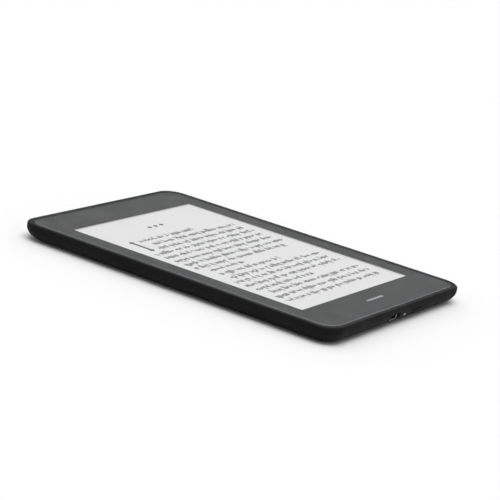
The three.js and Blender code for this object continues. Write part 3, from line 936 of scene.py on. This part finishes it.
def marks_tree():
    """Puts the mark that each point asks for on it, with a slight play in its width."""
    tree, given = geometry_tree(
        "set_page_marks",
        ("Marks", "NodeSocketCollection"), ("Width Play", "NodeSocketFloat"), ("Seed", "NodeSocketInt"),
    )
    marks = shapes_of(tree, given["Marks"])
    kind = node(tree, "GeometryNodeInputNamedAttribute", {"Name": "kind"}, data_type="INT")
    least = node(tree, "ShaderNodeMath", {0: 1.0, 1: given["Width Play"]}, operation="SUBTRACT")
    most = node(tree, "ShaderNodeMath", {0: 1.0, 1: given["Width Play"]}, operation="ADD")
    width = node(tree, "FunctionNodeRandomValue", {"Seed": given["Seed"]}, data_type="FLOAT")
    tree.links.new(least.outputs[0], width.inputs[2])
    tree.links.new(most.outputs[0], width.inputs[3])
    scale = node(tree, "ShaderNodeCombineXYZ", {"X": width.outputs[1], "Y": 1.0, "Z": 1.0})
    placed = node(
        tree,
        "GeometryNodeInstanceOnPoints",
        {
            "Points": given["Points"],
            "Instance": marks,
            "Pick Instance": True,
            "Instance Index": kind.outputs[0],
            "Scale": scale.outputs["Vector"],
        },
    )
    return close_tree(tree, given, placed.outputs["Instances"])


def page_print():
    spots, kinds = mark_spots()
    shelf = shelf_of("page_marks", mark_shapes())
    made = new_object("page_print", spots, [])
    made.data.attributes.new("kind", "INT", "POINT").data.foreach_set("value", kinds)
    grow(made, marks_tree(), {"Marks": shelf, "Width Play": 0.08, "Seed": 4, "Finish": MATERIALS["print"]})
    clear_shelf(shelf)
    settle(made, "reader", "page_layer", "print")


def page_ornaments():
    """A tall rule with a lozenge at each end, where a page opens, and three lozenges over it."""
    low, high = PAGE_HIGH.z, PAGE_HIGH.z + INK_THICKNESS
    x, y = SCREEN_LEFT + 10.2 * MM, SCREEN_TOP - 31.1 * MM
    reach = 5.5 * MM
    half = 0.8 * MM
    heading_y = SCREEN_TOP - 14.3 * MM
    rule = box_mesh((x - half, y - reach, low), (x + half, y + reach, high))
    ends = [lozenge(x, y + way * reach, 1.7 * MM, low, high) for way in (-1, 1)]
    heading = [
        lozenge(SCREEN_LEFT + across * MM, heading_y, 1.4 * MM, low, high)
        for across in (39, 43.5, 48)
    ]
    rule_and_ends = new_object("page_rule", *rule)
    for end in ends:
        cut_with(rule_and_ends, [new_object("end", *end)], "UNION")
    settle(rule_and_ends, "reader", "page_layer", "print")
    settle(new_object("page_heading", *several(heading)), "reader", "page_layer", "print")


def chin_mark():
    """A plain slim bar on the lower border, in place of any name."""
    half_x, half_y = 7 * MM, 0.7 * MM
    y = SCREEN_TOP - SCREEN_LENGTH - 9.3 * MM
    rings = [
        rounded_loop(half_x, half_y, half_y * 0.99, z, (0, y), 8)
        for z in (FILM_HIGH.z, FILM_HIGH.z + 0.01 * MM)
    ]
    mark = layered_plate("chin_bar", rings)
    settle(mark, "reader", "border_print", "mark")


# --- Edge controls ---------------------------------------------------------------------------


def crowned(name, half_x, half_z, centre, back, proud, soft):
    """A key or a light pipe along Y whose face follows the edge's curve and is rounded at its rim."""
    steps = 6
    loops = []
    for step in range(steps, -1, -1):
        angle = math.pi / 2 * step / steps
        shrink = soft * (1 - math.cos(angle))
        sink = soft * (1 - math.sin(angle)) - proud
        rim = pill_loop(half_x - shrink, half_z - shrink, centre)
        loops.append([(x, edge_face(z) + sink, z) for x, z in rim])
    loops.append([(x, back, z) for x, z in pill_loop(half_x, half_z, centre)])
    made = new_object(name, *skin(loops))
    tidy_normals(made)
    shade(made, 40)
    return made


def power_key():
    flange = (POCKET_Y + 0.6 * MM, POCKET_Y + 1.1 * MM)
    key = crowned(
        "power_key", *BUTTON_HALF, (BUTTON_X, EDGE_Z), flange[0] + 0.1 * MM, 0.15 * MM, 0.22 * MM
    )
    wide = pill_loop(BUTTON_HALF[0] + 0.8 * MM, 1.55 * MM, (BUTTON_X, EDGE_Z))
    nub = pill_loop(1.2 * MM, 0.5 * MM, (BUTTON_X, EDGE_Z + 0.2 * MM))
    extras = [
        new_object("flange", *along_y(wide, *flange)),
        new_object("nub", *along_y(nub, flange[1] - 0.1 * MM, BUTTON_HIGH.y)),
    ]
    for extra in extras:
        tidy_normals(extra)
    cut_with(key, extras, "UNION")
    tidy_normals(key)
    shade(key, 40)
    settle(key, "button", "soft_touch_shell", "soft_touch", "power_button")


def light_pipe():
    pipe = crowned(
        "status_pipe", PIPE_RADIUS, PIPE_RADIUS, (PIPE_X, EDGE_Z), PIPE_HIGH.y, 0.0, 0.12 * MM
    )
    settle(pipe, "reader", "clear_film", "pipe", "status_light_pipe")


def port_shell():
    """The port's pressed sleeve, open at its mouth, with a rolled rim."""
    thick = 0.3 * MM
    rim = 0.1 * MM
    stops = [
        (0.0, PORT_HIGH.y),
        (0.0, PORT_LOW.y + rim),
        (-rim, PORT_LOW.y),
        (-thick + rim, PORT_LOW.y),
        (-thick, PORT_LOW.y + rim),
        (-thick, PORT_HIGH.y - 0.5 * MM),
    ]
    loops = [[(x, y, z) for x, z in port_loop(grow)] for grow, y in stops]
    sleeve = new_object("port_sleeve", *skin(loops))
    tidy_normals(sleeve)
    shade(sleeve, 40)
    settle(sleeve, "reader", "plated_steel", "steel", "charge_port")


# --- Inside: screws, main board, battery and antenna -----------------------------------------

CHASSIS_SCREWS = [name for name in SCREWS if name.startswith("chassis")]
BOARD_SCREWS = [name for name in SCREWS if name.startswith("board")]
BOARD_LOW, BOARD_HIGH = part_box("main_board")


def screw_shape(seat, tip, top):
    """A pan-head screw on the Z axis, with a helical thread and a cross recess."""
    sides, pitch, core, thread = 20, 0.5 * MM, 0.42 * MM, 0.13 * MM
    head = 1.5 * MM
    soft = 0.16 * MM

    def ring(z, radius_at):
        turns = [math.tau * side / sides for side in range(sides)]
        return [(radius_at(turn) * math.cos(turn), radius_at(turn) * math.sin(turn), z) for turn in turns]

    def threaded(z):
        return lambda turn: core + thread * abs(1 - 2 * ((z / pitch - turn / math.tau) % 1))

    rows = int((seat - tip) / (pitch / 5))
    loops = [ring(tip, lambda turn: 0.05 * MM)]
    for row in range(1, rows):
        z = tip + (seat - tip) * row / rows
        loops.append(ring(z, threaded(z)))
    loops.append(ring(seat, lambda turn: core + thread))
    loops.append(ring(seat, lambda turn: head - soft / 4))
    for step in range(5):
        angle = math.pi / 2 * step / 4
        reach = head - soft * (1 - math.cos(angle))
        loops.append(ring(top - soft * (1 - math.sin(angle)), lambda turn, reach=reach: reach))
    screw = new_object("screw", *skin(loops))
    tidy_normals(screw)
    arm, half, deep = 0.8 * MM, 0.15 * MM, 0.3 * MM
    for reach_x, reach_y in ((arm, half), (half, arm)):
        slot = box_mesh((-reach_x, -reach_y, top - deep), (reach_x, reach_y, top + deep))
        cut_with(screw, [new_object("slot", *slot)])
    shade(screw, 40)
    return screw


def screws_tree():
    """Seats one screw on each point, each turned as it happened to come tight."""
    tree, given = geometry_tree(
        "seat_screws", ("Screw", "NodeSocketObject"), ("Seed", "NodeSocketInt")
    )
    screw = node(tree, "GeometryNodeObjectInfo", {"Object": given["Screw"]})
    turn = node(
        tree,
        "FunctionNodeRandomValue",
        {2: 0.0, 3: math.tau, "Seed": given["Seed"]},
        data_type="FLOAT",
    )
    spin = node(tree, "ShaderNodeCombineXYZ", {"Z": turn.outputs[1]})
    placed = node(
        tree,
        "GeometryNodeInstanceOnPoints",
        {
            "Points": given["Points"],
            "Instance": screw.outputs["Geometry"],
            "Rotation": spin.outputs["Vector"],
        },
    )
    return close_tree(tree, given, placed.outputs["Instances"])


def seated_screws():
    tree = screws_tree()
    for label, names in (("chassis_screws", CHASSIS_SCREWS), ("board_screws", BOARD_SCREWS)):
        low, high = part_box(names[0])
        head_height = 0.45 * MM
        screw = screw_shape(high.z - head_height, low.z, high.z)
        made = new_object(label, [(SCREWS[name].x, SCREWS[name].y, 0) for name in names], [])
        grow(made, tree, {"Screw": screw, "Seed": 3, "Finish": MATERIALS["steel"]})
        bpy.data.objects.remove(screw)
        settle(made, "reader", "plated_steel", "steel", *names)


def board_room():
    """The board's free top, as small squares clear of everything that stands on it or over it."""
    cell = 1.5 * MM
    margin = 0.7 * MM
    others = [
        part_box(name) for name in frame["nodes"] if name not in ("main_board", "rear_cover", "chassis")
    ]
    taken = [
        (low, high)
        for low, high in others
        if low.z < BOARD_HIGH.z + 1 * MM and high.z > BOARD_HIGH.z - 0.1 * MM
    ]
    points, faces = [], []
    edge = 2.5 * MM
    for column in range(int((BOARD_HIGH.x - BOARD_LOW.x - 2 * edge) / cell)):
        for row in range(int((BOARD_HIGH.y - BOARD_LOW.y - 2 * edge) / cell)):
            x = BOARD_LOW.x + edge + column * cell
            y = BOARD_LOW.y + edge + row * cell
            if any(
                low.x - margin < x + cell
                and x < high.x + margin
                and low.y - margin < y + cell
                and y < high.y + margin
                for low, high in taken
            ):
                continue
            first = len(points)
            points.extend(
                (x + dx, y + dy, BOARD_HIGH.z) for dx, dy in ((0, 0), (cell, 0), (cell, cell), (0, cell))
            )
            faces.append(tuple(range(first, first + 4)))
    return points, faces


DENSEST = 400000.0  # parts per square metre, before the spacing thins them
HIGHEST_KIND = 9  # a kind past the last shape starts again at the first


def scatter_tree():
    """Stands shapes on a free surface, square to the board, no nearer to each other than a spacing."""
    tree, given = geometry_tree(
        "scatter_parts",
        ("Shapes", "NodeSocketCollection"), ("Spacing", "NodeSocketFloat"), ("Seed", "NodeSocketInt"),
    )
    spread = node(
        tree,
        "GeometryNodeDistributePointsOnFaces",
        {
            "Mesh": given["Points"],
            "Distance Min": given["Spacing"],
            "Density Max": DENSEST,
            "Seed": given["Seed"],
        },
        distribute_method="POISSON",
    )
    kind = node(
        tree, "FunctionNodeRandomValue", {4: 0, 5: HIGHEST_KIND, "Seed": given["Seed"]}, data_type="INT"
    )
    quarter = node(tree, "FunctionNodeRandomValue", {4: 0, 5: 3, "Seed": 7}, data_type="INT")
    turn = node(tree, "ShaderNodeMath", {0: quarter.outputs[2], 1: math.pi / 2}, operation="MULTIPLY")
    spin = node(tree, "ShaderNodeCombineXYZ", {"Z": turn.outputs[0]})
    placed = node(
        tree,
        "GeometryNodeInstanceOnPoints",
        {
            "Points": spread.outputs["Points"],
            "Instance": shapes_of(tree, given["Shapes"]),
            "Pick Instance": True,
            "Instance Index": kind.outputs[2],
            "Rotation": spin.outputs["Vector"],
        },
    )
    return close_tree(tree, given, placed.outputs["Instances"])


# Small parts of the board: length, width, height, and the length of each tinned end
SMALL_PARTS = [(1.0, 0.5, 0.35, 0.22), (1.0, 0.5, 0.5, 0.24), (1.6, 0.8, 0.75, 0.32)]


def board_parts():
    """Resistors and capacitors: their ceramic bodies in one piece and their tinned ends in another."""
    bodies, ends = [], []
    for length, width, height, end in ([size * MM for size in part] for part in SMALL_PARTS):
        proud = 0.02 * MM
        inner = length / 2 - end
        bodies.append(box_mesh((-inner, -width / 2 + proud, 0), (inner, width / 2 - proud, height - proud)))
        ends.append(several([
            box_mesh((-length / 2, -width / 2, 0), (-inner, width / 2, height)),
            box_mesh((inner, -width / 2, 0), (length / 2, width / 2, height)),
        ]))
    tree = scatter_tree()
    for label, shapes, finish, slot in (
        ("board_part_bodies", bodies, "ceramic", "circuit_board"),
        ("board_part_ends", ends, "tin", "plated_steel"),
    ):
        shelf = shelf_of(label, shapes)
        made = new_object(label, *board_room())
        inputs = {"Shapes": shelf, "Spacing": 2.1 * MM, "Seed": 5, "Finish": MATERIALS[finish]}
        grow(made, tree, inputs)
        clear_shelf(shelf)
        settle(made, "reader", slot, finish)


def contacts_tree():
    """A small block of a given size on each point."""
    tree, given = geometry_tree("set_contacts", ("Size", "NodeSocketVector"))
    contact = node(tree, "GeometryNodeMeshCube", {"Size": given["Size"]})
    placed = node(
        tree,
        "GeometryNodeInstanceOnPoints",
        {"Points": given["Points"], "Instance": contact.outputs["Mesh"]},
    )
    return close_tree(tree, given, placed.outputs["Instances"])


def contact_row(low_x, high_x, y, z, pitch):
    count = int((high_x - low_x) / pitch)
    start = (low_x + high_x) / 2 - pitch * (count - 1) / 2
    return [(start + index * pitch, y, z) for index in range(count)]


def socket_and_port_contacts():
    """Soldered feet along both sides of each socket, and five flat springs under the port's tongue."""
    tree = contacts_tree()
    feet = []
    for name in ("display_socket", "touch_socket", "light_socket", "battery_socket"):
        low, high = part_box(name)
        pitch = (1.2 if name == "battery_socket" else 0.5) * MM
        for y in (low.y - 0.15 * MM, high.y + 0.15 * MM):
            feet += contact_row(low.x, high.x, y, BOARD_HIGH.z + 0.06 * MM, pitch)
    low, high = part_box("charge_port_tongue")
    springs = contact_row(low.x + 0.2 * MM, high.x, (low.y + high.y) / 2, low.z - 0.03 * MM, 0.65 * MM)
    spring_size = (0.3 * MM, high.y - low.y - 0.5 * MM, 0.1 * MM)
    for label, spots, size, finish in (
        ("socket_feet", feet, (0.22 * MM, 0.5 * MM, 0.12 * MM), "tin"),
        ("port_contacts", springs, spring_size, "gold"),
    ):
        made = new_object(label, spots, [])
        grow(made, tree, {"Size": size, "Finish": MATERIALS[finish]})
        settle(made, "reader", "plated_steel", finish)


def centred(name):
    """Half the size of a node's box along X and Y, its centre, its lowest and its highest Z."""
    low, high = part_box(name)
    half = (high - low) / 2
    middle = (high + low) / 2
    return half.x, half.y, (middle.x, middle.y), low.z, high.z


def pressed_can(name, columns, rows):
    """A pressed shield can: a stepped roof with rolled edges and rows of small vents."""
    half_x, half_y, centre, low, high = centred(name)
    shelf = low + (high - low) * 0.66
    profile = [
        (0, low), (0, shelf - 0.12 * MM), (0.12 * MM, shelf), (0.42 * MM, shelf + 0.02 * MM),
        (0.5 * MM, shelf + 0.1 * MM), (0.5 * MM, high - 0.16 * MM), (0.56 * MM, high - 0.05 * MM),
        (0.68 * MM, high),
    ]
    rings = [
        rounded_loop(half_x - inset, half_y - inset, 0.9 * MM - inset / 2, z, centre, 6)
        for inset, z in profile
    ]
    can = new_object(f"{name}_can", *skin(rings))
    tidy_normals(can)
    vents = [
        cylinder(
            centre[0] + (column - (columns - 1) / 2) * 2.6 * MM,
            centre[1] + (row - (rows - 1) / 2) * 2.6 * MM,
            0.5 * MM, high - 0.3 * MM, high + 0.2 * MM, 12,
        )
        for column in range(columns)
        for row in range(rows)
    ]
    cut_with(can, [new_object("vents", *several(vents))])
    shade(can, 30)
    settle(can, "reader", "plated_steel", "steel", name)


def moulded_chip(name):
    """A moulded chip: drafted sides, a soft top edge and a round dimple at its first corner."""
    half_x, half_y, centre, low, high = centred(name)
    middle = (low + high) / 2
    profile = [(0.06 * MM, low), (0, middle), (0.06 * MM, high - 0.07 * MM), (0.13 * MM, high)]
    rings = [
        rounded_loop(half_x - inset, half_y - inset, 0.2 * MM, z, centre, 3) for inset, z in profile
    ]
    chip = new_object(f"{name}_package", *skin(rings))
    tidy_normals(chip)
    reach = min(half_x, half_y)
    dimple = cylinder(
        centre[0] - half_x + 0.5 * reach, centre[1] + half_y - 0.5 * reach,
        0.16 * reach, high - 0.1 * MM, high + 0.1 * MM, 16,
    )
    cut_with(chip, [new_object("dimple", *dimple)])
    shade(chip, 30)
    settle(chip, "reader", "chip_black", "chip", name)


def power_coil():
    """A moulded coil: its round winding stands out of a square foot."""
    half_x, half_y, centre, low, high = centred("power_coil")
    foot = [
        rounded_loop(half_x - inset, half_y - inset, 0.6 * MM, z, centre, 6)
        for inset, z in ((0, low), (0, low + 0.3 * MM), (0.1 * MM, low + 0.4 * MM))
    ]
    drum = half_x - 0.15 * MM
    winding = []
    for step in range(25):
        part = step / 24
        z = low + 0.38 * MM + (high - low - 0.38 * MM) * part
        ripple = 0.05 * MM * abs(math.sin(part * 6 * math.pi))
        edge = 0.1 * MM * max(0, part - 0.9) * 10
        winding.append(rounded_loop(drum + ripple - edge, drum + ripple - edge, drum - edge, z, centre, 7))
    coil = new_object("coil_body", *skin(foot))
    tidy_normals(coil)
    shade(coil, 35)
    settle(coil, "reader", "chip_black", "chip", "power_coil")
    wound = new_object("coil_winding", *skin(winding))
    tidy_normals(wound)
    shade(wound, 50)
    settle(wound, "reader", "plated_steel", "copper")


def battery():
    """A foil pouch with soft faces, its folded side seams, its tabs and the tape over them."""
    half_x, half_y, centre, low, high = centred("battery_pack")
    seam = 0.5 * MM
    end = 4 * MM
    body_x, body_y = half_x - seam, half_y - end / 2
    body_centre = (centre[0], centre[1] + end / 2)
    profile = [
        (9 * MM, low), (2.2 * MM, low + 0.06 * MM), (0.9 * MM, low + 0.22 * MM), (0.2 * MM, low + 0.7 * MM),
        (0, low + 1.2 * MM), (0, high - 1.2 * MM), (0.2 * MM, high - 0.7 * MM),
        (0.9 * MM, high - 0.28 * MM), (2.2 * MM, high - 0.12 * MM), (6 * MM, high - 0.05 * MM),
        (16 * MM, high - 0.015 * MM), (26 * MM, high),
    ]
    rings = [
        rounded_loop(body_x - inset, body_y - inset, 2.6 * MM + inset * 0.3, z, body_centre, 8)
        for inset, z in profile
    ]
    pouch = new_object("battery_pouch", *skin(rings))
    tidy_normals(pouch)
    shade(pouch, 50)
    settle(pouch, "reader", "battery_foil", "foil", "battery_pack")
    battery_seams(half_x, body_y, body_centre, low, high)
    bottom_y = centre[1] - half_y
    ledge = 0.35 * MM
    middle = (low + high) / 2
    terrace = box_mesh(
        (centre[0] - body_x + 3 * MM, bottom_y + 0.3 * MM, middle - ledge / 2),
        (centre[0] + body_x - 3 * MM, bottom_y + end + 1 * MM, middle + ledge / 2),
    )
    settle(new_object("battery_terrace", *terrace), "reader", "battery_foil", "foil")
    guard_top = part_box("battery_guard_board")[1].z
    tab_x, tab_half, tab_reach = 12 * MM, 2.5 * MM, 2 * MM
    tabs = several([
        box_mesh(
            (x - tab_half, bottom_y - tab_reach, guard_top + 0.02 * MM),
            (x + tab_half, bottom_y + tab_reach, guard_top + 0.14 * MM),
        )
        for x in (-tab_x, tab_x)
    ])
    settle(new_object("battery_tabs", *tabs), "reader", "plated_steel", "tin")
    tape_half = 34 * MM
    tape_low = (-tape_half, bottom_y - 2.6 * MM, guard_top + 0.16 * MM)
    tape_high = (tape_half, bottom_y + end + 3 * MM, guard_top + 0.24 * MM)
    tape = new_object("battery_cover_tape", *box_mesh(tape_low, tape_high))
    settle(tape, "reader", "foam_tape", "amber_film")


def battery_seams(half_x, body_y, body_centre, low, high):
    """The pouch's side seams, folded up against it, a little wavy along their length."""
    thick = 0.16 * MM
    steps = 48
    strips = []
    for side in (-1, 1):
        loops = []
        for step in range(steps + 1):
            y = body_centre[1] - body_y + 2 * MM + (2 * body_y - 4 * MM) * step / steps
            wave = 0.07 * MM * math.sin(step * 0.9) + 0.03 * MM * math.sin(step * 2.3)
            outer = side * (half_x - 0.12 * MM + wave)
            inner = side * (half_x - 0.12 * MM + wave - thick)
            bottom, top = low + 0.5 * MM, high - 0.45 * MM + wave
            loops.append([(outer, y, bottom), (outer, y, top), (inner, y, top), (inner, y, bottom)])
        strips.append(skin(loops))
    seams = new_object("battery_seams", *several(strips))
    tidy_normals(seams)
    shade(seams, 40)
    settle(seams, "reader", "battery_foil", "foil")


def track_tree():
    """A flat track of a given width and thickness along a line of points."""
    tree, given = geometry_tree(
        "lay_track", ("Width", "NodeSocketFloat"), ("Thickness", "NodeSocketFloat")
    )
    line = node(tree, "GeometryNodeMeshToCurve", {"Mesh": given["Points"]})
    level = node(tree, "GeometryNodeSetCurveNormal", {"Curve": line.outputs["Curve"]}, mode="Z_UP")
    section = node(
        tree,
        "GeometryNodeCurvePrimitiveQuadrilateral",
        {"Width": given["Width"], "Height": given["Thickness"]},
    )
    laid = node(
        tree,
        "GeometryNodeCurveToMesh",
        {
            "Curve": level.outputs["Curve"],
            "Profile Curve": section.outputs["Curve"],
            "Fill Caps": True,
        },
    )
    return close_tree(tree, given, laid.outputs["Mesh"])


def antenna_track():
    """The antenna's copper line: a long arm that folds to and fro at its free end."""
    half_x, half_y, centre, _, high = centred("antenna")
    reach_x, reach_y = half_x - 2 * MM, half_y - 1.2 * MM
    z = high + 0.02 * MM
    points = [(centre[0] - reach_x, centre[1] - reach_y, z), (centre[0] - reach_x, centre[1] + reach_y, z)]
    folds = 8
    points.append((centre[0], centre[1] + reach_y, z))
    for fold in range(folds):
        x = centre[0] + reach_x * (fold + 1) / folds
        way = -1 if fold % 2 == 0 else 1
        before = points[-1]
        points.append((before[0], centre[1] + way * reach_y, z))
        points.append((x, centre[1] + way * reach_y, z))
    made = new_object("antenna_track", points, [])
    made.data.edges.add(len(points) - 1)
    ends = [corner for index in range(len(points) - 1) for corner in (index, index + 1)]
    made.data.edges.foreach_set("vertices", ends)
    inputs = {"Width": 0.8 * MM, "Thickness": 0.035 * MM, "Finish": MATERIALS["copper"]}
    grow(made, track_tree(), inputs)
    tidy_normals(made)
    settle(made, "reader", "ribbon_flex", "copper")


SLOT_FINISHES = {
    "matte_lens": "lens",
    "border_print": "border",
    "seal_rubber": "rubber",
    "clear_film": "clear",
    "page_layer": "page",
    "display_glass": "glass",
    "chip_black": "chip",
    "foam_tape": "foam",
    "ribbon_flex": "flex",
    "white_plastic": "white",
    "chassis_plastic": "chassis",
    "plated_steel": "steel",
    "circuit_board": "board",
    "battery_foil": "foil",
    "lead_black": "lead",
    "soft_touch_shell": "soft_touch",
}
NODE_FINISHES = {"antenna": "amber_film"}


def dress_cad_nodes():
    """Every piece kept from the frame gets the finish of its slot, or one of its own."""
    for part in frame["record"]["subparts"]:
        finish = NODE_FINISHES.get(part["node"], SLOT_FINISHES[part["material_slot"]])
        thing = frame["nodes"][part["node"]]
        thing.data.materials.clear()
        thing.data.materials.append(MATERIALS[finish])


# --- Stage -----------------------------------------------------------------------------------


def stage():
    reach = 12
    corners = [(-reach, -reach, 0), (reach, -reach, 0), (reach, reach, 0), (-reach, reach, 0)]
    floor = new_object("floor", corners, [(0, 1, 2, 3)])
    material, _, shader, _ = new_material("pale_floor")
    shader.inputs["Base Color"].default_value = (0.92, 0.92, 0.92, 1)
    shader.inputs["Roughness"].default_value = 0.9
    shader.inputs["Specular IOR Level"].default_value = 0.1
    floor.data.materials.append(material)
    floor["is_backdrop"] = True
    world = bpy.data.worlds.new("studio")
    world.use_nodes = True
    sky = world.node_tree.nodes["Background"]
    sky.inputs["Color"].default_value = (1, 1, 1, 1)
    sky.inputs["Strength"].default_value = 0.42
    bpy.context.scene.world = world
    for name, turn, strength, spread in (
        ("key", (12, -10, 0), 1.7, 50),
        ("fill", (-25, 30, 0), 0.6, 90),
    ):
        light = bpy.data.lights.new(name, "SUN")
        light.energy = strength
        light.angle = math.radians(spread)
        lamp = bpy.data.objects.new(name, light)
        lamp.rotation_euler = [math.radians(angle) for angle in turn]
        bpy.context.scene.collection.objects.link(lamp)
    bpy.context.scene.view_settings.view_transform = "Standard"
    # Enough to see through all the clear layers that lie over each other
    bpy.context.scene.cycles.transparent_max_bounces = 24


add_camera()
dress_cad_nodes()
rear_shell()
front_lens()
border_print()
page_surface()
page_print()
page_ornaments()
chin_mark()
power_key()
light_pipe()
port_shell()
seated_screws()
board_parts()
socket_and_port_contacts()
pressed_can("processor_shield", 9, 7)
pressed_can("radio_shield", 6, 5)
for chip in ("memory_chip", "power_chip", "magnet_sensor"):
    moulded_chip(chip)
power_coil()
battery()
antenna_track()
stage()

boxes = {"cad": CAD_BOX, "visual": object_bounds()}
{name: [list(corner) for corner in box] for name, box in boxes.items()}
